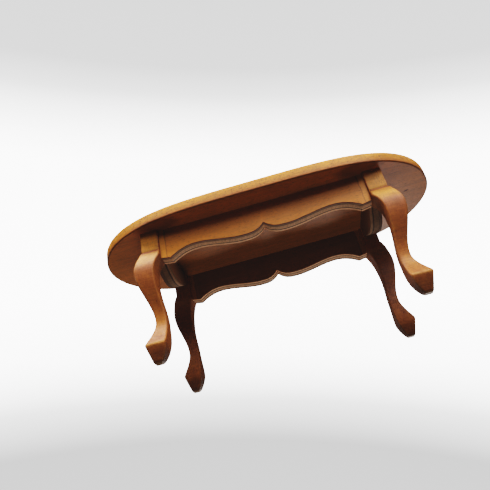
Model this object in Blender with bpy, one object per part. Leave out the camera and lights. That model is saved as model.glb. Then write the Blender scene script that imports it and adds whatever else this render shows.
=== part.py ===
"""Oval dollhouse coffee table: an oval top on four cabriole legs joined by four scalloped aprons.

Units are metres. +X is the table's long axis, +Y points to the rear and +Z is up. The origin is on the
floor under the middle of the top, and the four soles stand at Z = 0. Every piece is glued, so nothing moves.
"""

import math

import bmesh
import bpy

MM = 0.001

# Overall sizes
TOP_LENGTH = 104.2 * MM
TOP_WIDTH = 49.6 * MM
TOP_THICKNESS = 3.5 * MM
UNDERSIDE_HEIGHT = 38.9 * MM
GLUE_GAP = 0.3 * MM

# Top: a squared-off oval with a softened upper arris
TOP_END_POWER = 3.77
TOP_SIDE_POWER = 1.90
TOP_OUTLINE_STEPS = 40
TOP_SEGMENTS = 96
TOP_UPPER_ROUND = 0.75 * MM
TOP_LOWER_ROUND = 0.3 * MM
TOP_ROUND_STEPS = 3

# Legs: one square post at each corner, curved below the post
POST_OUTER_X = 35.65 * MM
POST_OUTER_Y = 18.6 * MM
POST_SIZE = 5.3 * MM
LEG_ARRIS = 0.35 * MM
LEG_RINGS_PER_CURVE = 8

# Leg profile: (depth below the top's underside, outward offset from the post's outer face, slope there)
LEG_SHOULDER = (6.3 * MM, 0.0, 0.45)
LEG_KNEE = (13.2 * MM, 2.15 * MM, 0.0)
LEG_ANKLE = (27.4 * MM, -1.35 * MM, 0.0)
LEG_TOE = (34.1 * MM, 1.4 * MM, 0.55)
LEG_SOLE_OUTER = -0.15 * MM
# Inner side of the leg, offsets measured from the post's outer face as well
INNER_START = (8.6 * MM, -POST_SIZE, 0.65)
INNER_KNEE = (17.0 * MM, -3.4 * MM, 0.0)
INNER_ANKLE = (28.3 * MM, -4.5 * MM, 0.0)
INNER_SOLE = (UNDERSIDE_HEIGHT, -2.4 * MM, 0.65)

# Aprons: plywood boards set back from the posts' outer faces
APRON_THICKNESS = 3.8 * MM
APRON_SETBACK = 0.9 * MM
APRON_CURVE_STEPS = 8

# Lower edge of the long aprons: (distance from the middle, depth, slope there)
CUSP = (0.0, 6.6 * MM, 1.15)
LOBE = (6.2 * MM, 8.95 * MM, 0.0)
WAIST = (20.0 * MM, 7.15 * MM, 0.0)
EAR = (27.6 * MM, 9.7 * MM, 0.7)
EAR_END_DEPTH = 9.25 * MM

# Lower edge of the end aprons: one shallow lobe, (distance from the middle, depth, slope there)
END_LOBE = (0.0, 8.5 * MM, 0.0)
END_FOOT = (POST_OUTER_Y - POST_SIZE, 3.3 * MM, -0.5)
END_APRON_STEPS = 24

# Colours of the stained wood (linear RGB) and its satin finish
TOP_COLOUR = (0.42, 0.17, 0.055, 1.0)
LEG_COLOUR = (0.36, 0.13, 0.042, 1.0)
APRON_COLOUR = (0.33, 0.14, 0.06, 1.0)
WOOD_ROUGHNESS = 0.42


def clear_scene():
    """Remove every object of the open scene."""
    for item in list(bpy.data.objects):
        bpy.data.objects.remove(item, do_unlink=True)


def wood_material(name, colour):
    """Return a plain satin wood material of one colour."""
    material = bpy.data.materials.new(name)
    material.use_nodes = True
    shader = material.node_tree.nodes["Principled BSDF"]
    shader.inputs["Base Color"].default_value = colour
    shader.inputs["Roughness"].default_value = WOOD_ROUGHNESS
    shader.inputs["Metallic"].default_value = 0.0
    return material


def hermite(start, end, t):
    """Return the cubic curve between two (position, value, slope) knots, t running from 0 to 1."""
    length = end[0] - start[0]
    rise = 3.0 * t ** 2 - 2.0 * t ** 3
    leave = t ** 3 - 2.0 * t ** 2 + t
    arrive = t ** 3 - t ** 2
    value = start[1] + (end[1] - start[1]) * rise
    return value + length * (start[2] * leave + end[2] * arrive)


def through_knots(knots, position):
    """Return the smooth curve through the knots at one position, held level beyond its two ends."""
    if position <= knots[0][0]:
        return knots[0][1]
    for start, end in zip(knots, knots[1:]):
        if position <= end[0]:
            return hermite(start, end, (position - start[0]) / (end[0] - start[0]))
    return knots[-1][1]


def rings_to_mesh(name, rings):
    """Return a closed mesh from rings of equal length, each anticlockwise as seen from the last one."""
    shape = bmesh.new()
    loops = [[shape.verts.new(point) for point in ring] for ring in rings]
    count = len(loops[0])
    for lower, upper in zip(loops, loops[1:]):
        for i in range(count):
            j = (i + 1) % count
            shape.faces.new((lower[i], lower[j], upper[j], upper[i]))
    shape.faces.new(list(reversed(loops[0])))
    shape.faces.new(loops[-1])
    mesh = bpy.data.meshes.new(name)
    shape.to_mesh(mesh)
    shape.free()
    return mesh


def add_object(name, mesh, material, location=(0.0, 0.0, 0.0), quarter_turns=0):
    """Place one piece, turned about Z by whole quarter turns."""
    piece = bpy.data.objects.new(name, mesh)
    if not mesh.materials:
        mesh.materials.append(material)
    piece.location = location
    piece.rotation_euler = (0.0, 0.0, quarter_turns * math.pi / 2.0)
    bpy.context.scene.collection.objects.link(piece)
    return piece


def oval_ring(inset, height):
    """Return one level outline of the top: |x / a|^m + |y / b|^n = 1, drawn in by the inset."""
    half_length = TOP_LENGTH / 2.0 - inset
    half_width = TOP_WIDTH / 2.0 - inset
    ring = []
    for i in range(TOP_SEGMENTS):
        angle = 2.0 * math.pi * i / TOP_SEGMENTS
        along = abs(math.cos(angle))
        across = abs(math.sin(angle))
        reach = 1.0
        for _ in range(TOP_OUTLINE_STEPS):
            end_part = (along * reach) ** TOP_END_POWER
            side_part = (across * reach) ** TOP_SIDE_POWER
            slope = (TOP_END_POWER * end_part + TOP_SIDE_POWER * side_part) / reach
            reach -= (end_part + side_part - 1.0) / slope
        ring.append((half_length * math.cos(angle) * reach, half_width * math.sin(angle) * reach, height))
    return ring


def make_top():
    """Build the oval top as level outlines that follow its rounded lower and upper arrises."""
    bottom = UNDERSIDE_HEIGHT
    top = UNDERSIDE_HEIGHT + TOP_THICKNESS
    rings = []
    for step in range(TOP_ROUND_STEPS + 1):
        turn = math.pi / 2.0 * step / TOP_ROUND_STEPS
        inset = TOP_LOWER_ROUND * (1.0 - math.sin(turn))
        rings.append(oval_ring(inset, bottom + TOP_LOWER_ROUND * (1.0 - math.cos(turn))))
    for step in range(TOP_ROUND_STEPS + 1):
        turn = math.pi / 2.0 * step / TOP_ROUND_STEPS
        inset = TOP_UPPER_ROUND * (1.0 - math.cos(turn))
        rings.append(oval_ring(inset, top - TOP_UPPER_ROUND * (1.0 - math.sin(turn))))
    mesh = rings_to_mesh("table_top", rings)
    return add_object("table_top", mesh, wood_material("top_wood", TOP_COLOUR))


def leg_outer(depth):
    """Return how far the leg's outer faces stand out from the post's outer faces at a depth."""
    if depth > LEG_TOE[0]:
        fraction = (depth - LEG_TOE[0]) / (UNDERSIDE_HEIGHT - LEG_TOE[0])
        return LEG_TOE[1] + (LEG_SOLE_OUTER - LEG_TOE[1]) * fraction
    return through_knots((LEG_SHOULDER, LEG_KNEE, LEG_ANKLE, LEG_TOE), depth)


def leg_inner(depth):
    """Return the offset of the leg's inner faces from the post's outer faces at a depth."""
    return through_knots((INNER_START, INNER_KNEE, INNER_ANKLE, INNER_SOLE), depth)


def leg_depths():
    """Return the depths of the leg's level sections, from the sole up to the post's top."""
    depths = [GLUE_GAP]
    stops = (LEG_SHOULDER[0], LEG_KNEE[0], LEG_ANKLE[0], LEG_TOE[0])
    for start, end in zip(stops, stops[1:]):
        step = (end - start) / LEG_RINGS_PER_CURVE
        depths.extend(start + step * i for i in range(LEG_RINGS_PER_CURVE))
    depths.append(LEG_TOE[0])
    depths.append((LEG_TOE[0] + UNDERSIDE_HEIGHT) / 2.0)
    depths.append(UNDERSIDE_HEIGHT)
    return list(reversed(depths))


def leg_ring(depth):
    """Return the leg's square section with its four arrises taken off, outer corner towards +X and +Y."""
    low = leg_inner(depth)
    high = leg_outer(depth)
    cut = LEG_ARRIS
    height = UNDERSIDE_HEIGHT - depth
    return [
        (low + cut, low, height), (high - cut, low, height),
        (high, low + cut, height), (high, high - cut, height),
        (high - cut, high, height), (low + cut, high, height),
        (low, high - cut, height), (low, low + cut, height),
    ]


def make_legs():
    """Build one cabriole leg and place it, turned, under each corner of the top."""
    mesh = rings_to_mesh("cabriole_leg", [leg_ring(depth) for depth in leg_depths()])
    material = wood_material("leg_wood", LEG_COLOUR)
    corners = (
        ("leg_rear_right", POST_OUTER_X, POST_OUTER_Y),
        ("leg_rear_left", -POST_OUTER_X, POST_OUTER_Y),
        ("leg_front_left", -POST_OUTER_X, -POST_OUTER_Y),
        ("leg_front_right", POST_OUTER_X, -POST_OUTER_Y),
    )
    for quarter_turns, (name, x, y) in enumerate(corners):
        add_object(name, mesh, material, (x, y, 0.0), quarter_turns)


def long_edge(half_span):
    """Return the right half of a long apron's lower edge: cusp, lobe, waist and ear."""
    points = []
    knots = (CUSP, LOBE, WAIST, EAR)
    for start, end in zip(knots, knots[1:]):
        for i in range(APRON_CURVE_STEPS):
            t = i / APRON_CURVE_STEPS
            points.append((start[0] + (end[0] - start[0]) * t, hermite(start, end, t)))
    points.append((EAR[0], EAR[1]))
    points.append((half_span, EAR_END_DEPTH))
    return points


def end_edge(half_span):
    """Return the right half of an end apron's lower edge: one cubic from the lobe's middle to the post."""
    points = []
    for i in range(END_APRON_STEPS // 2 + 1):
        t = 2.0 * i / END_APRON_STEPS * half_span / END_FOOT[0]
        points.append((END_FOOT[0] * t, hermite(END_LOBE, END_FOOT, t)))
    return points


def apron_mesh(name, half_span, right_edge):
    """Return a board whose outer face is at local Y = 0 and whose lower edge follows the given points."""
    left_edge = [(-x, depth) for x, depth in reversed(right_edge[1:])]
    outline = left_edge + right_edge + [(half_span, GLUE_GAP), (-half_span, GLUE_GAP)]
    outer = [(x, 0.0, UNDERSIDE_HEIGHT - depth) for x, depth in outline]
    inner = [(x, -APRON_THICKNESS, z) for x, y, z in outer]
    return rings_to_mesh(name, [outer, inner])


def make_aprons():
    """Build the two long and the two end aprons between the posts."""
    material = wood_material("apron_plywood", APRON_COLOUR)
    long_half = POST_OUTER_X - POST_SIZE - GLUE_GAP
    end_half = POST_OUTER_Y - POST_SIZE - GLUE_GAP
    long_mesh = apron_mesh("long_apron", long_half, long_edge(long_half))
    end_mesh = apron_mesh("end_apron", end_half, end_edge(end_half))
    y = POST_OUTER_Y - APRON_SETBACK
    x = POST_OUTER_X - APRON_SETBACK
    add_object("apron_rear", long_mesh, material, (0.0, y, 0.0), 0)
    add_object("apron_left", end_mesh, material, (-x, 0.0, 0.0), 1)
    add_object("apron_front", long_mesh, material, (0.0, -y, 0.0), 2)
    add_object("apron_right", end_mesh, material, (x, 0.0, 0.0), 3)


def main():
    """Build the whole table."""
    clear_scene()
    make_top()
    make_legs()
    make_aprons()


if __name__ == "__main__":
    main()
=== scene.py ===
"""Miniature oval coffee table, finished: rounded arrises, plywood edges and procedural stained wood.

The file is laid out as a Blender add-on. Each piece is a surface worked out with numpy on a grid of two
parameters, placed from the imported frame, and replaces the plain solid of the same name.
All lengths are in metres. +X is the long axis of the top, +Y is the rear and +Z is up.
"""

import math

import bpy
import numpy as np
from mathutils import Matrix, Vector
from bpy.props import FloatProperty, FloatVectorProperty, PointerProperty


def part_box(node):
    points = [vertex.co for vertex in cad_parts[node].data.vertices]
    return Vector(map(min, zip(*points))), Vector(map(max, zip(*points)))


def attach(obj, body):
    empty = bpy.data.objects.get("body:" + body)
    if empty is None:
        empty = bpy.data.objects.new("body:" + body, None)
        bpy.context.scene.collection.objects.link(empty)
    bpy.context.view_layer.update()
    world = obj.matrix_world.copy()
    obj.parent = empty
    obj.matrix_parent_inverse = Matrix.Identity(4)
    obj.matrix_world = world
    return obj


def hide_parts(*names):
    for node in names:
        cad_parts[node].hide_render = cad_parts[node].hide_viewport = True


bl_info = {
    "name": "Miniature Oval Coffee Table",
    "version": (1, 0, 0),
    "blender": (4, 5, 0),
    "location": "View3D > Sidebar > Table",
    "description": "Builds a dollhouse coffee table with cabriole legs and plywood aprons",
    "category": "Add Mesh",
}

MM = 0.001
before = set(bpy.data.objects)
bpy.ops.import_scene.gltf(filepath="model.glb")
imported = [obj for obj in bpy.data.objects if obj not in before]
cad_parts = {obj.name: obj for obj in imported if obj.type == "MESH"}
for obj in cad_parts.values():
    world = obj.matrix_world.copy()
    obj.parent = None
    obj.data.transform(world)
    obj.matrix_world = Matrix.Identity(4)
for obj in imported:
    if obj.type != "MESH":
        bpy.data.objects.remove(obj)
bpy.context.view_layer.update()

# Places read from the frame
TOP_LOW, TOP_HIGH = (np.array(corner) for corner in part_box("table_top"))
UNDERSIDE = float(TOP_LOW[2])
LEG_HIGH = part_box("leg_rear_right")[1]
REAR_LOW, REAR_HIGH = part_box("apron_rear")
RIGHT_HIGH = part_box("apron_right")[1]

# The top's outline: |x / a|^m + |y / b|^n = 1
TOP_END_POWER = 3.77
TOP_SIDE_POWER = 1.90
TOP_COLUMNS = 288
NEWTON_STEPS = 40
# Height over which the rim's lower part turns a darker, deeper orange, in millimetres
RIM_BAND = 1.9
RIM_TONE = (0.50, 0.120, 0.010)
# Small knot on the underside: place, turn and half sizes
KNOT = (45.0 * MM, -2.7 * MM)
KNOT_TURN = math.radians(-18.0)
KNOT_SIZE = (0.95 * MM, 0.42 * MM, 0.5 * MM)

# Painted shadow of each post on the underside: place from the middle and half sizes
PAINTED_POST_SHADOW = (29.5 * MM, 20.6 * MM)
PAINTED_POST_SHADOW_SIZE = (8.0 * MM, 4.2 * MM, 1.2 * MM)

# Leg profile: (depth below the underside, outward offset from the post's outer face, slope there)
SHOULDER = (6.3 * MM, 0.0, 0.45)
KNEE = (13.2 * MM, 2.15 * MM, 0.0)
ANKLE = (27.4 * MM, -1.35 * MM, 0.0)
TOE = (34.1 * MM, 1.4 * MM, 0.55)
SOLE_OUTER = -0.15 * MM
# Height of the toe above the floor, in millimetres
TOE_HEIGHT = (UNDERSIDE - TOE[0]) / MM
POST_SIZE = 5.3 * MM
# Sawn nick under the shoulder
NICK_DEPTH = 0.16 * MM
NICK_WIDTH = 0.26 * MM
SOLE_ROUND = 0.3 * MM
TOE_ROUND = 0.35 * MM
# Facets of a leg's corner, and how far beyond its arc the support points stand
CORNER_FACETS = 4
CORNER_SUPPORT = 0.12 * MM
INNER_START = (8.6 * MM, -POST_SIZE, 0.65)
INNER_KNEE = (17.0 * MM, -3.4 * MM, 0.0)
INNER_ANKLE = (28.3 * MM, -4.5 * MM, 0.0)
INNER_SOLE = (UNDERSIDE, -2.4 * MM, 0.65)
POST_OUTER_X = float(LEG_HIGH[0]) - KNEE[1]
POST_OUTER_Y = float(LEG_HIGH[1]) - KNEE[1]

# Lower edges of the aprons: (distance from the middle, depth below the underside, slope there)
CUSP = (0.0, 6.6 * MM, 1.15)
LOBE = (6.2 * MM, 8.95 * MM, 0.0)
WAIST = (20.0 * MM, 7.15 * MM, 0.0)
EAR = (27.6 * MM, 9.7 * MM, 0.7)
EAR_END_DEPTH = 9.25 * MM
END_LOBE = (0.0, 8.5 * MM, 0.0)
END_FOOT = (POST_OUTER_Y - POST_SIZE, 3.3 * MM, -0.5)

# Orange brown painted shadow just under a post's shoulder
PAINTED_SHOULDER_SHADOW = (0.22, 0.045, 0.002)

# Plies of an apron and the dark glue line between them, as fractions of its thickness from the outer face
OUTER_PLY = 0.27
GLUE_LINE = 0.72
INNER_PLY = 0.78
GLUE_GROOVE = 0.05 * MM
# The end aprons' sawn edges are painted darker than the long ones', as shade
END_EDGE_PAINTED_SHADE = 0.42
# Reach of the dried glue beside a post
GLUE_REACH = 2.2 * MM

# Gap left open at every glued joint
JOINT_LINE = 0.03 * MM

# Studio: (name, azimuth, elevation, irradiance, angular size), angles in degrees, irradiance in W/m^2.
# Azimuth 0 is in front and 90 on the right.
LIGHT_DISTANCE = 0.6
LIGHTS = (
    ("overhead_left", -62.0, 56.0, 1.50, 22.0),
    ("overhead_front", -30.0, 62.0, 2.50, 22.0),
    ("overhead_right", 42.0, 47.0, 2.20, 22.0),
    ("side_right", 85.0, 30.0, 0.22, 22.0),
    ("front", 12.0, 29.0, 1.10, 26.0),
    ("right_low", 128.0, -18.0, 0.19, 30.0),
    ("rear_low", 172.0, -26.0, 1.00, 30.0),
    ("rear_left", -130.0, 5.0, 0.42, 30.0),
    ("below_left", -50.0, -68.0, 0.22, 30.0),
)
ROOM_LIGHT = 0.002
# Light scattered evenly over the view by the bright backdrop
VEIL = 0.0135
# Backdrop's brightness by the sine of the height above the view's axis, along the camera's upright.
# The sine is halved and raised by a half to fit a ramp.
BACKDROP = (
    (0.275, 0.78), (0.31, 0.76), (0.345, 1.5), (0.39, 4.0), (0.45, 5.2),
    (0.585, 4.6), (0.625, 2.4), (0.65, 1.35), (0.675, 0.98), (0.74, 0.93),
)
# How far each layer of the grain lightens or darkens the stain
GRAIN_FLOOR = 0.77
STREAKS = 0.20
BANDS = 0.18
MOTTLE = 0.16
CLOUDS = 0.16
PORES = 0.32
SPECKS = 0.25
# How much bare wood and painted highlight show on an arris, and how dark the painted shade in a joint's
# crease is
WEAR_AND_HIGHLIGHT = 0.50
PAINTED_CREASE_STRENGTH = 0.55
# Colours darkened for the painted shade in creases, the painted shadows by the posts, the knot, dried glue's
# rim and glue lines
PAINTED_CREASE_TONE = 0.30
PAINTED_POST_SHADOW_TONE = 0.16
KNOT_SHADE = 0.22
SHORE_SHADE = 0.45
LINE_SHADE = 0.25
# How much darker the feet are painted as shade, how deep the saw's ripples show and how pale the soles are
FOOT_PAINTED_SHADE = 0.44
RIPPLE = 0.22
SOLE_BARE = 0.25
# Heights of the surface's bumps
BOARD_BUMP = 0.030 * MM
LEG_BUMP = 0.035 * MM

FLOOR_REACH = 0.8
FLOOR_LEVEL = -0.05 * MM

# Angle between faces from which an edge is shaded sharp
SHARP_ANGLE = math.radians(32.0)
# Satin lacquer
SPECULAR_LEVEL = 0.22
COAT_ROUGHNESS = 0.35


# ---------------------------------------------------------------- settings

class WoodSettings(bpy.types.PropertyGroup):
    """Colours and finish of the stained wood."""

    top_stain: FloatVectorProperty(
        name="Top stain", description="Colour of the top board", subtype="COLOR", size=3,
        min=0.0, max=1.0, default=(0.66, 0.200, 0.028))
    # On the legs this golden colour stands partly for painted light
    thin_stain: FloatVectorProperty(
        name="Thin stain", description="Golden colour of the legs where the stain is rubbed thin",
        subtype="COLOR", size=3, min=0.0, max=1.0, default=(0.76, 0.272, 0.026))
    # On the legs this red brown stands partly for painted shade, below the knee and on the inner faces
    deep_stain: FloatVectorProperty(
        name="Deep stain", description="Red brown colour of the legs where the stain is dense",
        subtype="COLOR", size=3, min=0.0, max=1.0, default=(0.37, 0.098, 0.018))
    apron_stain: FloatVectorProperty(
        name="Apron stain", description="Colour of the aprons' faces", subtype="COLOR", size=3,
        min=0.0, max=1.0, default=(0.95, 0.300, 0.034))
    # Dull dark colour standing for the shade on the aprons' inner faces: painted shade
    inside_painted_shade: FloatVectorProperty(
        name="Inside painted shade", description="Dull colour of the aprons' inner faces", subtype="COLOR", size=3,
        min=0.0, max=1.0, default=(0.34, 0.150, 0.060))
    # Also the colour of the painted highlight on arrises, toe ridges and shoulders
    bare_wood_and_highlight: FloatVectorProperty(
        name="Bare wood", description="Colour where the stain is rubbed off an arris",
        subtype="COLOR", size=3, min=0.0, max=1.0, default=(0.82, 0.40, 0.10))
    core_ply: FloatVectorProperty(
        name="Core ply", description="Colour of the sawn core of the plywood", subtype="COLOR", size=3,
        min=0.0, max=1.0, default=(0.82, 0.415, 0.200))
    face_ply: FloatVectorProperty(
        name="Face ply", description="Colour of the sawn outer ply", subtype="COLOR", size=3,
        min=0.0, max=1.0, default=(0.36, 0.175, 0.095))
    roughness: FloatProperty(
        name="Roughness", description="Roughness of the satin lacquer", subtype="FACTOR",
        min=0.0, max=1.0, default=0.48)


class ShapeSettings(bpy.types.PropertyGroup):
    """Radii of the sanded arrises."""

    top_upper_round: FloatProperty(
        name="Upper round", description="Radius of the top's upper arris", unit="LENGTH",
        min=0.0001, max=0.0014, default=0.8 * MM)
    top_lower_round: FloatProperty(
        name="Lower round", description="Radius of the top's lower arris", unit="LENGTH",
        min=0.0001, max=0.001, default=0.35 * MM)
    leg_arris: FloatProperty(
        name="Leg arris", description="Radius of the legs' four arrises", unit="LENGTH",
        min=0.0001, max=0.0009, default=0.42 * MM)
    post_arris: FloatProperty(
        name="Post arris", description="Radius of the square post's arrises", unit="LENGTH",
        min=0.0001, max=0.0009, default=0.25 * MM)
    apron_arris: FloatProperty(
        name="Apron arris", description="Radius of the aprons' arrises", unit="LENGTH",
        min=0.00005, max=0.0005, default=0.16 * MM)


class StageSettings(bpy.types.PropertyGroup):
    """Camera and studio."""

    elevation: FloatProperty(
        name="Elevation", description="Angle by which the camera looks up at the table", subtype="ANGLE",
        default=math.radians(30.1))
    turn: FloatProperty(
        name="Turn", description="Turn of the table under the camera", subtype="ANGLE",
        default=math.radians(-3.93))
    roll: FloatProperty(
        name="Roll", description="Roll of the camera", subtype="ANGLE", default=math.radians(-13.44))
    distance: FloatProperty(
        name="Distance", description="Camera to the middle of the underside, along the view", unit="LENGTH",
        min=0.05, max=2.0, default=150.6 * MM)
    aside: FloatProperty(
        name="Aside", description="How far right of the view's axis the middle lies", unit="LENGTH",
        default=7.0 * MM)
    above: FloatProperty(
        name="Above", description="How far above the view's axis the middle lies", unit="LENGTH",
        default=3.7 * MM)
    lens: FloatProperty(
        name="Lens", description="Focal length in millimetres on a 36 mm sensor", min=10.0, max=200.0,
        default=34.53)


# ---------------------------------------------------------------- curves

def hermite(start, end, position):
    """Cubic between two (position, value, slope) knots: value and slope are met at both ends."""
    length = end[0] - start[0]
    t = (position - start[0]) / length
    rise = 3.0 * t ** 2 - 2.0 * t ** 3
    leave = t ** 3 - 2.0 * t ** 2 + t
    arrive = t ** 3 - t ** 2
    return start[1] + (end[1] - start[1]) * rise + length * (start[2] * leave + end[2] * arrive)


def through_knots(knots, position):
    """Chain of Hermite cubics through the knots, level beyond both ends, for an array of positions."""
    inside = np.clip(position, knots[0][0], knots[-1][0])
    value = np.full_like(position, knots[0][1])
    for start, end in zip(knots, knots[1:]):
        value = np.where(inside >= start[0], hermite(start, end, inside), value)
    return value


def soft_minimum(first, second, width):
    """The lower of two values, rounded where they cross: min - width/4 * (1 - |a - b| / width)^2."""
    near = np.clip(1.0 - np.abs(first - second) / width, 0.0, 1.0)
    return np.minimum(first, second) - width / 4.0 * near ** 2


def bell(position, middle, width):
    """Gaussian bump: exp(-((position - middle) / width)^2)."""
    return np.exp(-((position - middle) / width) ** 2)


def smooth_step(low, high, position):
    """0 below low, 1 above high, 3t^2 - 2t^3 between."""
    t = np.clip((position - low) / (high - low), 0.0, 1.0)
    return 3.0 * t ** 2 - 2.0 * t ** 3


# ---------------------------------------------------------------- meshes

def closed_tube(name, points, layers):
    """Mesh of a grid of rings, points[row, column] = (x, y, z), closed round each row and capped at its ends.

    Quads join neighbouring rows and columns. Each cap is a fan about the mean of its ring. Layers are
    per-point values, one array of rows by columns each, stored as float attributes of the same name.
    """
    rows, columns = points.shape[:2]
    first = np.arange(rows * columns).reshape(rows, columns)
    after = np.roll(first, -1, axis=1)
    quads = np.stack([first[:-1], after[:-1], after[1:], first[1:]], axis=-1).reshape(-1, 4)
    low_pole = rows * columns
    high_pole = low_pole + 1
    low_fan = np.stack([after[0], first[0], np.full(columns, low_pole)], axis=-1)
    high_fan = np.stack([first[-1], after[-1], np.full(columns, high_pole)], axis=-1)
    poles = np.stack([points[0].mean(axis=0), points[-1].mean(axis=0)])
    vertices = np.concatenate([points.reshape(-1, 3), poles])
    faces = quads.tolist() + low_fan.tolist() + high_fan.tolist()
    mesh = bpy.data.meshes.new(name)
    mesh.from_pydata(vertices.tolist(), [], faces)
    for layer, values in layers.items():
        ends = [values[0].mean(), values[-1].mean()]
        attribute = mesh.attributes.new(layer, "FLOAT", "POINT")
        attribute.data.foreach_set("value", np.append(values.reshape(-1), ends).astype(np.float32))
    mesh.shade_smooth()
    mesh.set_sharp_from_angle(angle=SHARP_ANGLE)
    return mesh


def add_piece(name, mesh, material):
    """Link a finished piece, which rides on the table's one body and stands for the solid of its name."""
    piece = bpy.data.objects.new(name + "_finished", mesh)
    mesh.materials.append(material)
    bpy.context.scene.collection.objects.link(piece)
    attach(piece, "root")
    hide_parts(name)
    return piece


def quarter_turned(points, turns, corner):
    """Points turned about Z by whole quarter turns, then moved to a corner (x, y)."""
    cosine, sine = ((1, 0), (0, 1), (-1, 0), (0, -1))[turns % 4]
    x = points[..., 0] * cosine - points[..., 1] * sine + corner[0]
    y = points[..., 0] * sine + points[..., 1] * cosine + corner[1]
    return np.stack([x, y, points[..., 2]], axis=-1)


def top_points(shape):
    """Oval board: rows follow the half section from the underside's middle out, up and back in.

    The outline is |x / a|^m + |y / b|^n = 1, and its reach r along (a cos u, b sin u) is found by Newton's
    steps on the whole array at once. A row is ((a - inset) r cos u, (b - inset) r sin u).
    The section is flat, a quarter round, a straight edge, a larger quarter round and flat again.
    """
    half = (TOP_HIGH[:2] - TOP_LOW[:2]) / 2.0
    thickness = TOP_HIGH[2] - TOP_LOW[2]
    lower = shape.top_lower_round
    upper = shape.top_upper_round
    low_turn = np.linspace(0.0, np.pi / 2.0, 9)
    high_turn = np.linspace(0.0, np.pi / 2.0, 17)
    flat = np.array([0.60, 0.30, 0.12, 0.05]) * half[1]
    inset = np.concatenate([
        flat, [lower * 1.4], lower * (1.0 - np.sin(low_turn)), [0.0, 0.0],
        upper * (1.0 - np.cos(high_turn)), [upper * 1.15], flat[::-1]])
    height = np.concatenate([
        np.zeros(flat.size + 1), lower * (1.0 - np.cos(low_turn)),
        [lower * 1.3, thickness - upper * 1.1],
        thickness - upper * (1.0 - np.sin(high_turn)),
        np.full(flat.size + 1, thickness)])
    angle = np.linspace(0.0, 2.0 * np.pi, TOP_COLUMNS, endpoint=False)
    reach = np.ones(TOP_COLUMNS)
    for _ in range(NEWTON_STEPS):
        end_part = (np.abs(np.cos(angle)) * reach) ** TOP_END_POWER
        side_part = (np.abs(np.sin(angle)) * reach) ** TOP_SIDE_POWER
        slope = TOP_END_POWER * end_part + TOP_SIDE_POWER * side_part
        reach = reach - (end_part + side_part - 1.0) * reach / slope
    x = (half[0] - inset)[:, None] * (np.cos(angle) * reach)[None]
    y = (half[1] - inset)[:, None] * (np.sin(angle) * reach)[None]
    z = np.broadcast_to((UNDERSIDE + height)[:, None], x.shape)
    rows = np.ones(x.shape)
    # Painted shade along the top's lower arris, kept in the crease layer
    low_arris = bell(height, lower * 0.3, lower * 1.4) * (inset < lower * 1.2)
    # Worn upper arris, partly painted highlight, kept in the wear layer
    high_arris = bell(height, thickness - upper * 0.3, upper * 0.6) * (inset < upper * 1.1)
    rim = smooth_step(lower * 0.6, lower * 1.6, height) * (inset < upper * 0.9)
    layers = {
        "wear": high_arris[:, None] * rows,
        "crease": low_arris[:, None] * rows,
        "edge": rim[:, None] * rows,
    }
    return np.stack([x, y, z], axis=-1), layers


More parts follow.
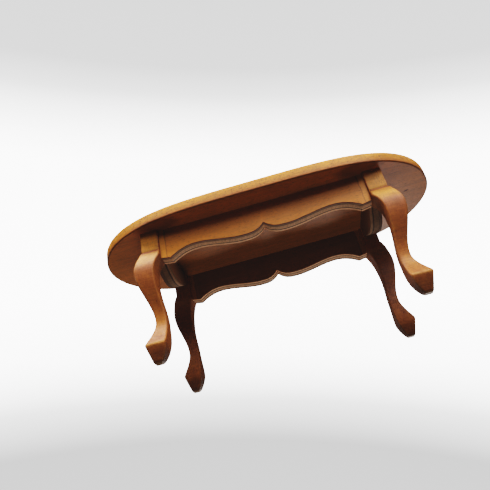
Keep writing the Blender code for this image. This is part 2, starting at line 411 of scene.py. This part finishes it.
def leg_points(shape):
    """Cabriole leg, outer corner towards +X and +Y, origin at the post's outer corner on the floor.

    Rows are levels from the sole to the post's top. Each is a square from the inner offset to the outer one,
    both chains of Hermite cubics of the depth, with rounded corners: a quarter circle between two support
    points. Below the ankle the outer offset is the softened lower of its curve, which runs on past the toe at
    the slope it has there, and the line from the toe to the sole.
    """
    sole = UNDERSIDE
    stops = np.array([0.35, 0.12, 0.0, -0.10, -0.25, -0.40, -0.60, -0.80]) * MM
    depth = np.concatenate([
        [JOINT_LINE, 0.5 * MM, 1.2 * MM], np.linspace(2.4 * MM, SHOULDER[0] - 0.7 * MM, 4),
        SHOULDER[0] - stops, np.linspace(SHOULDER[0] + 1.1 * MM, TOE[0] - 0.8 * MM, 94),
        np.linspace(TOE[0] - 0.7 * MM, TOE[0] + 0.7 * MM, 15),
        np.linspace(TOE[0] + 0.9 * MM, sole - 0.4 * MM, 10)])
    outer_above = through_knots((SHOULDER, KNEE, ANKLE, TOE), depth)
    outer_above = outer_above + TOE[2] * np.maximum(depth - TOE[0], 0.0)
    outer_above = outer_above - NICK_DEPTH * bell(depth, SHOULDER[0] + NICK_WIDTH, NICK_WIDTH)
    outer_below = TOE[1] + (SOLE_OUTER - TOE[1]) * (depth - TOE[0]) / (sole - TOE[0])
    outer = np.where(depth > ANKLE[0], soft_minimum(outer_above, outer_below, TOE_ROUND), outer_above)
    inner = through_knots((INNER_START, INNER_KNEE, INNER_ANKLE, INNER_SOLE), depth)
    turn = np.linspace(0.0, np.pi / 2.0, 6)[1:]
    inset = np.concatenate([np.zeros(depth.size), SOLE_ROUND * (1.0 - np.cos(turn))])
    depth = np.concatenate([depth, sole - SOLE_ROUND * (1.0 - np.sin(turn))])
    outer = np.concatenate([outer, np.full(turn.size, SOLE_OUTER)])
    inner = np.concatenate([inner, np.full(turn.size, INNER_SOLE[1])])
    depth, outer, inner, inset = (values[::-1] for values in (depth, outer, inner, inset))
    half = (outer - inner) / 2.0 - inset
    middle = (outer + inner) / 2.0
    radius = shape.post_arris + (shape.leg_arris - shape.post_arris) * smooth_step(
        SHOULDER[0], SHOULDER[0] + 2.0 * MM, depth)
    radius = np.minimum(radius, 0.3 * half)
    arc = np.linspace(0.0, np.pi / 2.0, CORNER_FACETS + 1)
    toward_x = np.concatenate([[1.0], np.cos(arc), [0.0]])
    toward_y = np.concatenate([[0.0], np.sin(arc), [1.0]])
    shift_x = np.concatenate([np.zeros(arc.size + 1), [-CORNER_SUPPORT]])
    shift_y = np.concatenate([[-CORNER_SUPPORT], np.zeros(arc.size + 1)])
    corner_x = (half - radius)[:, None] + radius[:, None] * toward_x + shift_x
    corner_y = (half - radius)[:, None] + radius[:, None] * toward_y + shift_y
    x = np.concatenate([corner_x, -corner_y, -corner_x, corner_y], axis=1) + middle[:, None]
    y = np.concatenate([corner_y, corner_x, -corner_y, -corner_x], axis=1) + middle[:, None]
    z = np.broadcast_to((UNDERSIDE - depth)[:, None], x.shape)
    on_arc = np.concatenate([[0.0, 0.25], np.ones(arc.size - 2), [0.25, 0.0]])
    whole = np.ones(toward_x.size)
    fading = np.array([1.0, 0.5] + [0.0] * (toward_x.size - 2))
    outer_side = np.concatenate([whole, fading, 0.0 * whole, fading[::-1]])
    # Pale lines on the toe ridge and the post's lower arris: painted highlight, kept in the wear layer
    toe = bell(depth, TOE[0], 0.45 * MM)[:, None] * outer_side[None]
    shoulder = bell(depth, SHOULDER[0] - 0.12 * MM, 0.22 * MM)[:, None] * outer_side[None]
    wear = np.maximum(np.maximum(np.tile(on_arc, 4)[None] * 0.25, toe), shoulder)
    # Painted shade where the leg meets the underside
    crease = np.broadcast_to(bell(depth, 0.0, 0.5 * MM)[:, None], x.shape)
    # Painted shadow just under the shoulder, on the outer faces
    scorch = bell(depth, SHOULDER[0] + 0.45 * MM, 0.45 * MM)
    scorch = scorch + 0.35 * bell(depth, SHOULDER[0] + 1.3 * MM, 0.9 * MM)
    scorch = scorch[:, None] * outer_side[None]
    # Golden on post, knee top, ankle and outer faces, red brown below the knee and inside: painted light and
    # shade, partly thinner stain
    thin = 1.0 - smooth_step(KNEE[0] - 4.4 * MM, KNEE[0] - 0.3 * MM, depth)
    thin = np.maximum(thin, 0.38 * bell(depth, ANKLE[0] + 1.5 * MM, 3.8 * MM))
    thin = thin[:, None] * (0.15 + 0.85 * outer_side)[None]
    return np.stack([x, y, z], axis=-1), {"wear": wear, "crease": crease, "thin": thin, "scorch": scorch}


def long_edge(x, half_span):
    """Depth of a long apron's lower edge: cusp, lobe, waist and ear as Hermite cubics, then a line."""
    away = np.abs(x)
    curve = through_knots((CUSP, LOBE, WAIST, EAR), away)
    line = EAR[1] + (EAR_END_DEPTH - EAR[1]) * (away - EAR[0]) / (half_span - EAR[0])
    return np.where(away > EAR[0], line, curve)


def end_edge(x):
    """Depth of an end apron's lower edge: one Hermite cubic from the lobe's middle to the post."""
    return through_knots((END_LOBE, END_FOOT), np.abs(x))


def apron_points(shape, x, depth, thickness):
    """Plywood board, outer face at y = 0 and inner face at y = -thickness.

    Rows are places x along the board. Each is one loop round its section: up the outer face, over the top,
    down the inner face and back along the lower edge at the given depth, with quarter round lower arrises and
    a shallow groove at both glue lines.
    """
    arris = shape.apron_arris
    arc = np.linspace(0.0, np.pi / 2.0, 5)
    lines = np.array([GLUE_LINE, OUTER_PLY])
    line_y = (-lines[:, None] * thickness + np.array([-0.10, -0.03, 0.03, 0.10]) * MM).reshape(-1)
    line_rise = np.tile([0.0, GLUE_GROOVE, GLUE_GROOVE, 0.0], 2)
    lower_y = np.concatenate([
        [-thickness, -thickness], -thickness + arris * (1.0 - np.cos(arc)), [-thickness + arris * 1.6],
        line_y, [-arris * 1.6], -arris * (1.0 - np.cos(arc[::-1])), [0.0, 0.0]])
    lower_rise = np.concatenate([
        [1.0 * MM, arris * 1.6], arris * (1.0 - np.sin(arc)), [0.0],
        line_rise, [0.0], arris * (1.0 - np.sin(arc[::-1])), [arris * 1.6, 1.0 * MM]])
    top_y = np.array([0.0, -thickness])
    section_y = np.concatenate([lower_y, top_y])
    first, count = 3, arc.size - 2
    last = lower_y.size - first
    y = np.broadcast_to(section_y[None], (x.size, section_y.size))
    lower_z = UNDERSIDE - depth[:, None] + lower_rise[None]
    upper_z = np.full((x.size, top_y.size), UNDERSIDE - JOINT_LINE)
    z = np.concatenate([lower_z, upper_z], axis=1)
    layer = np.broadcast_to((-section_y / thickness)[None], y.shape)
    sawn = np.zeros(section_y.size)
    sawn[first:last] = 1.0
    on_arc = np.zeros(section_y.size)
    on_arc[first:first + count] = 1.0
    on_arc[last - count:last] = 1.0
    grid_x = np.broadcast_to(x[:, None], y.shape)
    # Painted shade where the apron meets a post and the underside
    near_post = bell(np.abs(grid_x), np.abs(x).max(), 0.35 * MM)
    near_top = bell(z, UNDERSIDE, 0.6 * MM)
    values = {
        # Worn lower arrises, partly painted highlight
        "wear": np.broadcast_to(on_arc[None], y.shape),
        "crease": np.maximum(near_post, near_top),
        "layer": layer,
        "sawn": np.broadcast_to(sawn[None], y.shape),
        "beside": np.abs(x).max() - np.abs(grid_x),
    }
    return np.stack([grid_x, y, z], axis=-1), values


# ---------------------------------------------------------------- shader maths

class Wire:
    """A node socket that takes part in arithmetic: every operator adds one Math node."""

    def __init__(self, bench, socket):
        self.bench = bench
        self.socket = socket

    def maths(self, operation, other=None, swap=False):
        """One Math node on this value and another."""
        pair = [self] if other is None else [other, self] if swap else [self, other]
        return self.bench.node("ShaderNodeMath", {"operation": operation}, dict(enumerate(pair)))

    def __add__(self, other):
        return self.maths("ADD", other)

    def __sub__(self, other):
        return self.maths("SUBTRACT", other)

    def __rsub__(self, other):
        return self.maths("SUBTRACT", other, swap=True)

    def __mul__(self, other):
        return self.maths("MULTIPLY", other)

    def __truediv__(self, other):
        return self.maths("DIVIDE", other)

    __radd__ = __add__
    __rmul__ = __mul__

    def clamped(self):
        """This value held between 0 and 1."""
        return self.bench.node("ShaderNodeClamp", {}, {"Value": self})


class Bench:
    """Builds one material: a Principled shader and the nodes that feed it."""

    def __init__(self, name):
        self.material = bpy.data.materials.new(name)
        self.material.use_nodes = True
        self.tree = self.material.node_tree
        self.shader = self.tree.nodes["Principled BSDF"]

    def node(self, kind, settings, inputs, output=0):
        """Add any node: settings are set first, then its sockets get values or links; a wire comes back."""
        item = self.tree.nodes.new(kind)
        for key, value in settings.items():
            if key == "stops":
                self.set_stops(item.color_ramp, value)
            else:
                setattr(item, key, value)
        for key, value in inputs.items():
            if isinstance(value, Wire):
                self.tree.links.new(value.socket, item.inputs[key])
            else:
                item.inputs[key].default_value = value
        return Wire(self, item.outputs[output])

    @staticmethod
    def set_stops(ramp, stops):
        """Give a colour ramp its (position, grey) stops."""
        while len(ramp.elements) < len(stops):
            ramp.elements.new(0.5)
        for element, (position, grey) in zip(ramp.elements, stops):
            element.position = position
            element.color = (grey, grey, grey, 1.0)

    def spot(self):
        """Object coordinates in metres."""
        return self.node("ShaderNodeTexCoord", {}, {}, "Object")

    def place(self, scale, shift=(0.0, 0.0, 0.0)):
        """Object coordinates in millimetres, scaled along each axis and shifted."""
        inputs = {"Vector": self.spot(), "Location": shift, "Scale": tuple(value / MM for value in scale)}
        return self.node("ShaderNodeMapping", {}, inputs)

    def level(self):
        """Height above the floor in millimetres."""
        return self.node("ShaderNodeSeparateXYZ", {}, {"Vector": self.place((1.0, 1.0, 1.0))}, 2)

    def reach(self, spot, middle, size, turn=0.0):
        """Distance of a spot from a middle, 1 on the ellipsoid of the given half sizes turned about Z."""
        near = self.node("ShaderNodeMapping", {"vector_type": "TEXTURE"}, {
            "Vector": spot, "Location": middle, "Rotation": (0.0, 0.0, turn), "Scale": size})
        return self.node("ShaderNodeVectorMath", {"operation": "LENGTH"}, {0: near}, "Value")

    def noise(self, scale, detail=3.0, roughness=0.55, distortion=0.0, shift=(0.0, 0.0, 0.0)):
        """Noise with the given cycles per millimetre along each axis."""
        inputs = {"Vector": self.place(scale, shift), "Scale": 1.0, "Detail": detail,
                  "Roughness": roughness, "Distortion": distortion}
        return self.node("ShaderNodeTexNoise", {}, inputs)

    def ramp(self, value, *stops):
        """Grey ramp of a value through (position, grey) stops."""
        return self.node("ShaderNodeValToRGB", {"stops": stops}, {"Fac": value})

    def layer(self, name):
        """A float attribute of the mesh."""
        return self.node("ShaderNodeAttribute", {"attribute_name": name}, {}, "Fac")

    def spread(self, value, low, high):
        """0 below low, 1 above high and straight between."""
        return self.ramp(value, (low, 0.0), (high, 1.0))

    def mix(self, factor, first, second):
        """Mix two colours, each a wire or a triple."""
        inputs = {0: factor, 6: self.colour(first), 7: self.colour(second)}
        return self.node("ShaderNodeMix", {"data_type": "RGBA"}, inputs, 2)

    def dimmed(self, colour, amount):
        """A colour, wire or triple, times an amount."""
        colour = colour if isinstance(colour, Wire) else tuple(colour)
        return self.node("ShaderNodeVectorMath", {"operation": "SCALE"}, {0: colour, "Scale": amount})

    @staticmethod
    def colour(value):
        """A colour with its alpha, or the wire as it is."""
        return value if isinstance(value, Wire) else (*tuple(value), 1.0)

    def finish(self, colour, roughness, height, depth, coat=None):
        """Feed the shader: colour, roughness, coat and a bump of the given depth in metres."""
        bump = self.node("ShaderNodeBump", {}, {"Strength": 1.0, "Distance": depth, "Height": height})
        feeds = {"Base Color": colour, "Roughness": roughness, "Normal": bump}
        if coat is not None:
            feeds["Coat Weight"] = coat
        for key, wire in feeds.items():
            self.tree.links.new(wire.socket, self.shader.inputs[key])
        self.shader.inputs["Specular IOR Level"].default_value = SPECULAR_LEVEL
        self.shader.inputs["Coat Roughness"].default_value = COAT_ROUGHNESS
        return self.material


def scaled(colour, factor):
    """A colour made darker or lighter."""
    return tuple(min(1.0, value * factor) for value in colour)


def along(axis, fine, coarse):
    """Scale triple with the coarse value along the grain's axis and the fine value across it."""
    return tuple(coarse if index == axis else fine for index in range(3))


def stained_wood(bench, stain, axis, wood):
    """Colour, roughness, coat and height of lacquered, stained wood with its grain along one axis."""
    clouds = bench.ramp(bench.noise(along(axis, 0.16, 0.06), detail=2.0), (0.32, 0.0), (0.70, 1.0))
    streaks = bench.noise(along(axis, 2.6, 0.09), detail=5.0, roughness=0.6, distortion=0.15)
    bands = bench.noise(along(axis, 0.55, 0.03), detail=3.0, distortion=0.5, shift=(3.0, 7.0, 1.0))
    mottle = bench.noise((1.3, 1.3, 1.3), detail=3.0, roughness=0.6, shift=(5.0, 8.0, 2.0))
    pores = bench.ramp(bench.noise(along(axis, 6.0, 0.8), detail=1.0), (0.30, 1.0), (0.39, 0.0))
    specks = bench.noise((2.2, 2.2, 2.2), detail=2.0, shift=(9.0, 2.0, 5.0))
    specks = bench.ramp(specks, (0.29, 1.0), (0.35, 0.0))
    rubbed = bench.noise((1.1, 1.1, 1.1), detail=4.0, roughness=0.7)
    rubbed = bench.ramp(rubbed, (0.36, 0.25), (0.62, 1.0))
    satin = bench.noise(along(axis, 1.4, 0.5), detail=3.0, shift=(1.0, 1.0, 4.0))
    wear = bench.layer("wear") * rubbed
    crease = bench.layer("crease")
    grain = STREAKS * bench.spread(streaks, 0.30, 0.70) + BANDS * bench.spread(bands, 0.30, 0.70)
    grain = grain + MOTTLE * bench.spread(mottle, 0.30, 0.70)
    light = (GRAIN_FLOOR + grain) * (1.0 - CLOUDS * clouds)
    light = light * (1.0 - PORES * pores) * (1.0 - SPECKS * specks)
    tone = bench.dimmed(stain, light)
    # Worn arrises paler towards bare wood, partly painted highlight
    tone = bench.mix(wear * WEAR_AND_HIGHLIGHT, tone, wood.bare_wood_and_highlight)
    # Painted shade in creases and joints, mixed towards a dark stain colour
    tone = bench.mix(crease * PAINTED_CREASE_STRENGTH, tone, scaled(wood.deep_stain, PAINTED_CREASE_TONE))
    rough = wood.roughness - 0.10 + satin * 0.18 + pores * 0.15 + wear * 0.10
    height = streaks * 0.50 + mottle * 0.35 - pores * 0.8 - specks * 0.5 + satin * 0.35
    coat = (0.06 - wear * 0.05).clamped()
    return tone, rough, height, coat


def top_material(wood):
    """Stained board: a lighter, mottled rim, and below a painted shadow by each post and a small knot."""
    bench = Bench("top_stain")
    grit = bench.noise((1.7, 1.7, 1.7), detail=4.0, roughness=0.75, shift=(4.0, 4.0, 4.0))
    pits = bench.ramp(grit, (0.38, 1.0), (0.45, 0.0))
    edge = bench.layer("edge")
    blotch = bench.noise((0.55, 0.55, 1.1), detail=3.0, roughness=0.6, shift=(2.0, 9.0, 6.0))
    blotch = bench.spread(blotch, 0.34, 0.66)
    base = bench.mix(edge * 0.75, wood.top_stain, wood.thin_stain)
    base = bench.dimmed(base, 1.0 + edge * (0.40 * blotch + 0.40 * grit - 0.24 - 0.65 * pits))
    above_underside = bench.level() - UNDERSIDE / MM
    band = bench.ramp(above_underside / RIM_BAND + 0.9 * grit - 0.45, (0.15, 1.0), (0.95, 0.0))
    base = bench.mix(band * edge * 0.66, base, RIM_TONE)
    tone, rough, height, coat = stained_wood(bench, base, 0, wood)
    # Painted shadow beside each post on the underside, mixed towards a dark stain colour
    quarter = bench.node("ShaderNodeVectorMath", {"operation": "ABSOLUTE"}, {0: bench.spot()})
    from_post_shadow = bench.reach(quarter, (*PAINTED_POST_SHADOW, UNDERSIDE), PAINTED_POST_SHADOW_SIZE)
    painted_post_shadow = bench.ramp(from_post_shadow + 0.25 * grit - 0.12, (0.55, 1.0), (1.0, 0.0))
    tone = bench.mix(painted_post_shadow * 0.62, tone, scaled(wood.deep_stain, PAINTED_POST_SHADOW_TONE))
    from_knot = bench.reach(bench.spot(), (*KNOT, UNDERSIDE), KNOT_SIZE, KNOT_TURN)
    knot = bench.ramp(from_knot, (0.45, 1.0), (1.0, 0.0))
    tone = bench.mix(knot * 0.85, tone, scaled(wood.deep_stain, KNOT_SHADE))
    return bench.finish(tone, rough + knot * 0.15, height - knot * 0.8 - edge * pits * 0.8, BOARD_BUMP, coat)


def leg_material(wood):
    """Leg wood: golden on post, knee top, ankle and outer faces and red brown below the knee and inside,
    partly thinner stain and partly painted light and shade; feet painted darker as shade, the saw's ripples,
    paler soles.
    """
    bench = Bench("leg_stain")
    drift = bench.noise((0.55, 0.55, 0.35), detail=3.0, shift=(2.0, 6.0, 3.0))
    # Mask of golden against red brown: painted light and shade, with random drift
    thin = (bench.layer("thin") + 0.7 * drift - 0.35).clamped()
    base = bench.mix(thin, wood.deep_stain, wood.thin_stain)
    above_floor = bench.level()
    # Painted shade: the feet darker towards the floor
    painted_foot_shade = bench.ramp(above_floor / TOE_HEIGHT, (0.55, 1.0), (0.98, 0.0))
    base = bench.dimmed(base, 1.0 - FOOT_PAINTED_SHADE * painted_foot_shade)
    ripple = bench.noise((0.35, 0.35, 3.2), detail=2.0)
    base = bench.dimmed(base, 1.04 - RIPPLE * bench.spread(ripple, 0.35, 0.65))
    tone, rough, height, coat = stained_wood(bench, base, 2, wood)
    # Painted shadow under the shoulder, in orange brown
    tone = bench.mix((bench.layer("scorch") * (0.35 + 1.1 * drift)).clamped(), tone, PAINTED_SHOULDER_SHADOW)
    sole = bench.ramp(above_floor, (0.10, 1.0), (0.30, 0.0))
    tone = bench.mix(sole * SOLE_BARE, tone, wood.bare_wood_and_highlight)
    return bench.finish(tone, rough, height + ripple * 0.9, LEG_BUMP, coat)


def plywood_material(name, axis, wood, brightness):
    """Stained plywood: faces, glue strips by the posts, an inside painted dull and dark as shade and a sawn
    edge of three plies.
    """
    bench = Bench(name)
    layer = bench.layer("layer")
    inside = bench.spread(layer, 0.90, 0.97)
    sawn = bench.layer("sawn")
    # The inner faces take a dull dark colour: painted shade
    base = bench.mix(inside, wood.apron_stain, wood.inside_painted_shade)
    tone, rough, height, coat = stained_wood(bench, base, axis, wood)
    beside = bench.layer("beside") / GLUE_REACH
    wobble = bench.noise((0.7, 0.7, 0.7), detail=2.0)
    beside = beside + 0.30 * wobble - 0.15
    glue = bench.ramp(beside, (0.10, 1.0), (0.62, 1.0), (0.72, 0.0))
    shore = bench.ramp(beside, (0.66, 0.0), (0.74, 1.0), (0.80, 1.0), (0.90, 0.0))
    tone = bench.mix(glue * 0.28, tone, scaled(wood.apron_stain, 1.3))
    tone = bench.mix(shore * 0.40, tone, scaled(wood.deep_stain, SHORE_SHADE))
    fibres = bench.spread(bench.noise(along(axis, 0.6, 4.5), detail=4.0, roughness=0.7), 0.35, 0.65)
    strands = bench.spread(bench.noise(along(axis, 5.0, 0.35), detail=3.0), 0.35, 0.65)
    core = bench.dimmed(scaled(wood.core_ply, brightness), 0.72 + 0.50 * fibres)
    outer = bench.dimmed(scaled(wood.face_ply, math.sqrt(brightness)), 0.78 + 0.40 * strands)
    inner = bench.dimmed(scaled(wood.core_ply, brightness), 1.25 + 0.55 * strands)
    edge = bench.mix(bench.spread(layer, OUTER_PLY - 0.02, OUTER_PLY + 0.02), outer, core)
    edge = bench.mix(bench.spread(layer, INNER_PLY - 0.01, INNER_PLY + 0.02), edge, inner)
    lines = bench.ramp(layer, (0.02, 0.75), (0.07, 0.0), (OUTER_PLY - 0.04, 0.0), (OUTER_PLY, 0.35),
                       (OUTER_PLY + 0.04, 0.0), (GLUE_LINE - 0.07, 0.0), (GLUE_LINE - 0.03, 1.0),
                       (GLUE_LINE + 0.04, 1.0), (GLUE_LINE + 0.07, 0.0), (0.93, 0.0), (0.98, 0.6))
    edge = bench.mix(lines * 0.88, edge, scaled(wood.face_ply, LINE_SHADE))
    tone = bench.mix(sawn, tone, edge)
    rough = rough + sawn * 0.28
    height = height * (1.0 - sawn) + (fibres * 0.8 - lines * 0.6) * sawn
    return bench.finish(tone, rough, height, BOARD_BUMP, coat * (1.0 - sawn))


# ---------------------------------------------------------------- operators

class TABLE_OT_top(bpy.types.Operator):
    """Build the oval top"""

    bl_idname = "table.top"
    bl_label = "Top"

    def execute(self, context):
        points, layers = top_points(context.scene.table_shape)
        wood = context.scene.table_wood
        add_piece("table_top", closed_tube("table_top", points, layers), top_material(wood))
        return {"FINISHED"}


class TABLE_OT_legs(bpy.types.Operator):
    """Build the four cabriole legs"""

    bl_idname = "table.legs"
    bl_label = "Legs"

    def execute(self, context):
        points, layers = leg_points(context.scene.table_shape)
        material = leg_material(context.scene.table_wood)
        corners = (
            ("leg_rear_right", (POST_OUTER_X, POST_OUTER_Y)),
            ("leg_rear_left", (-POST_OUTER_X, POST_OUTER_Y)),
            ("leg_front_left", (-POST_OUTER_X, -POST_OUTER_Y)),
            ("leg_front_right", (POST_OUTER_X, -POST_OUTER_Y)),
        )
        for turns, (name, corner) in enumerate(corners):
            mesh = closed_tube(name, quarter_turned(points, turns, corner), layers)
            add_piece(name, mesh, material)
        return {"FINISHED"}


class TABLE_OT_aprons(bpy.types.Operator):
    """Build the two long and the two end aprons"""

    bl_idname = "table.aprons"
    bl_label = "Aprons"

    def execute(self, context):
        shape = context.scene.table_shape
        wood = context.scene.table_wood
        long_half = POST_OUTER_X - POST_SIZE - JOINT_LINE
        end_half = POST_OUTER_Y - POST_SIZE - JOINT_LINE
        side = np.concatenate([
            [0.0, 0.08 * MM], np.linspace(0.3 * MM, EAR[0], 110), np.linspace(EAR[0], long_half, 9)[1:]])
        long_x = np.concatenate([-side[:0:-1], side])
        end_x = np.linspace(-end_half, end_half, 81)
        thickness = float(REAR_HIGH[1] - REAR_LOW[1])
        long_grid = apron_points(shape, long_x, long_edge(long_x, long_half), thickness)
        end_grid = apron_points(shape, end_x, end_edge(end_x), thickness)
        long_wood = plywood_material("long_apron_plywood", 0, wood, 1.0)
        # The end aprons' sawn edges are painted darker, as shade
        end_wood = plywood_material("end_apron_plywood", 1, wood, END_EDGE_PAINTED_SHADE)
        boards = (
            ("apron_rear", long_grid, long_wood, (0.0, float(REAR_HIGH[1]))),
            ("apron_left", end_grid, end_wood, (-float(RIGHT_HIGH[0]), 0.0)),
            ("apron_front", long_grid, long_wood, (0.0, -float(REAR_HIGH[1]))),
            ("apron_right", end_grid, end_wood, (float(RIGHT_HIGH[0]), 0.0)),
        )
        for turns, (name, (points, layers), material, corner) in enumerate(boards):
            mesh = closed_tube(name, quarter_turned(points, turns, corner), layers)
            add_piece(name, mesh, material)
        return {"FINISHED"}


class TABLE_OT_stage(bpy.types.Operator):
    """Build the floor, the studio light and the camera"""

    bl_idname = "table.stage"
    bl_label = "Stage"

    def execute(self, context):
        make_floor()
        make_world(context.scene, context.scene.table_stage)
        for light in LIGHTS:
            add_light(*light)
        make_camera(context.scene, context.scene.table_stage)
        view = context.scene.view_settings
        view.view_transform = "Filmic"
        view.look = "High Contrast"
        view.use_curve_mapping = True
        view.curve_mapping.black_level = (-VEIL, -VEIL, -VEIL)
        view.curve_mapping.update()
        return {"FINISHED"}


# ---------------------------------------------------------------- stage

def make_floor():
    """Pale floor just under the soles. It is one-sided: from below the camera sees through it."""
    reach, level = FLOOR_REACH, FLOOR_LEVEL
    mesh = bpy.data.meshes.new("floor")
    corners = [(-reach, -reach, level), (reach, -reach, level), (reach, reach, level), (-reach, reach, level)]
    mesh.from_pydata(corners, [], [(0, 1, 2, 3)])
    floor = bpy.data.objects.new("floor", mesh)
    bench = Bench("pale_floor")
    bench.shader.inputs["Base Color"].default_value = (0.72, 0.72, 0.72, 1.0)
    bench.shader.inputs["Roughness"].default_value = 0.8
    behind = bench.node("ShaderNodeNewGeometry", {}, {}, "Backfacing")
    bench.tree.links.new((1.0 - behind).socket, bench.shader.inputs["Alpha"])
    mesh.materials.append(bench.material)
    floor.visible_shadow = False
    floor.visible_diffuse = False
    floor.visible_glossy = False
    bpy.context.scene.collection.objects.link(floor)


def make_world(scene, stage):
    """Bright backdrop for the camera, greyer at its upper and lower ends, and a dim even room besides."""
    world = bpy.data.worlds.new("studio")
    scene.world = world
    world.use_nodes = True
    nodes = world.node_tree.nodes
    links = world.node_tree.links
    spot = nodes.new("ShaderNodeTexCoord")
    upright = nodes.new("ShaderNodeVectorMath")
    upright.operation = "DOT_PRODUCT"
    upright.inputs[1].default_value = -0.5 * view_axes(stage)[1]
    middle = nodes.new("ShaderNodeMath")
    middle.inputs[1].default_value = 0.5
    ramp = nodes.new("ShaderNodeValToRGB")
    while len(ramp.color_ramp.elements) < len(BACKDROP):
        ramp.color_ramp.elements.new(0.5)
    for element, (position, grey) in zip(ramp.color_ramp.elements, BACKDROP):
        element.position = position
        element.color = (grey, grey, grey, 1.0)
    path = nodes.new("ShaderNodeLightPath")
    mix = nodes.new("ShaderNodeMix")
    mix.inputs["A"].default_value = ROOM_LIGHT
    links.new(spot.outputs["Generated"], upright.inputs[0])
    links.new(upright.outputs["Value"], middle.inputs[0])
    links.new(middle.outputs["Value"], ramp.inputs["Fac"])
    links.new(path.outputs["Is Camera Ray"], mix.inputs["Factor"])
    links.new(ramp.outputs["Color"], mix.inputs["B"])
    links.new(mix.outputs["Result"], nodes["Background"].inputs["Strength"])
    nodes["Background"].inputs["Color"].default_value = (1.0, 1.0, 1.0, 1.0)


def add_light(name, azimuth, elevation, irradiance, angle):
    """Square soft box facing the table, given by its direction, its light there and its angular size.

    A box of power P at distance D gives an irradiance of P / (pi D^2) at its target.
    """
    turn, lift = math.radians(azimuth), math.radians(elevation)
    toward = Vector((math.sin(turn) * math.cos(lift), -math.cos(turn) * math.cos(lift), math.sin(lift)))
    data = bpy.data.lights.new(name, "AREA")
    data.shape = "SQUARE"
    data.size = 2.0 * LIGHT_DISTANCE * math.tan(math.radians(angle) / 2.0)
    data.energy = irradiance * math.pi * LIGHT_DISTANCE ** 2
    light = bpy.data.objects.new(name, data)
    light.location = Vector((0.0, 0.0, UNDERSIDE)) + toward * LIGHT_DISTANCE
    light.rotation_euler = toward.to_track_quat("Z", "Y").to_euler()
    light.visible_camera = False
    bpy.context.scene.collection.objects.link(light)


def view_axes(stage):
    """Rows are the view's right, down and ahead: a lift about X, the table's turn and the camera's roll."""
    lift = stage.elevation
    right = Vector((1.0, 0.0, 0.0))
    down = Vector((0.0, math.sin(lift), -math.cos(lift)))
    ahead = Vector((0.0, math.cos(lift), math.sin(lift)))
    level = Matrix((right, down, ahead))
    return Matrix.Rotation(stage.roll, 3, "Z") @ level @ Matrix.Rotation(stage.turn, 3, "Z")


def make_camera(scene, stage):
    """Camera below and in front of the table, looking up at it."""
    axes = view_axes(stage)
    middle = Vector((0.0, 0.0, UNDERSIDE))
    location = middle - axes.transposed() @ Vector((stage.aside, -stage.above, stage.distance))
    turn = Matrix((axes[0], -axes[1], -axes[2])).transposed()
    data = bpy.data.cameras.new("camera")
    data.lens = stage.lens
    data.sensor_width = 36.0
    data.clip_start = 0.005
    camera = bpy.data.objects.new("camera", data)
    camera.matrix_world = Matrix.Translation(location) @ turn.to_4x4()
    scene.collection.objects.link(camera)
    scene.camera = camera


# ---------------------------------------------------------------- add-on

class TABLE_PT_panel(bpy.types.Panel):
    """Sidebar panel of the table's settings and builders"""

    bl_idname = "TABLE_PT_panel"
    bl_label = "Oval coffee table"
    bl_space_type = "VIEW_3D"
    bl_region_type = "UI"
    bl_category = "Table"

    def draw(self, context):
        for group in (context.scene.table_wood, context.scene.table_shape, context.scene.table_stage):
            box = self.layout.box()
            for name in group.__annotations__:
                box.prop(group, name)
        for operator in (TABLE_OT_top, TABLE_OT_legs, TABLE_OT_aprons, TABLE_OT_stage):
            self.layout.operator(operator.bl_idname)


CLASSES = (
    WoodSettings, ShapeSettings, StageSettings,
    TABLE_OT_top, TABLE_OT_legs, TABLE_OT_aprons, TABLE_OT_stage, TABLE_PT_panel,
)


def register():
    """Register the classes and hang their settings on the scene."""
    for item in CLASSES:
        bpy.utils.register_class(item)
    bpy.types.Scene.table_wood = PointerProperty(type=WoodSettings)
    bpy.types.Scene.table_shape = PointerProperty(type=ShapeSettings)
    bpy.types.Scene.table_stage = PointerProperty(type=StageSettings)


def unregister():
    """Take the settings and the classes away again."""
    del bpy.types.Scene.table_stage
    del bpy.types.Scene.table_shape
    del bpy.types.Scene.table_wood
    for item in reversed(CLASSES):
        bpy.utils.unregister_class(item)


def main():
    """Build the whole scene."""
    register()
    bpy.ops.table.top()
    bpy.ops.table.legs()
    bpy.ops.table.aprons()
    bpy.ops.table.stage()


if __name__ == "__main__":
    main()
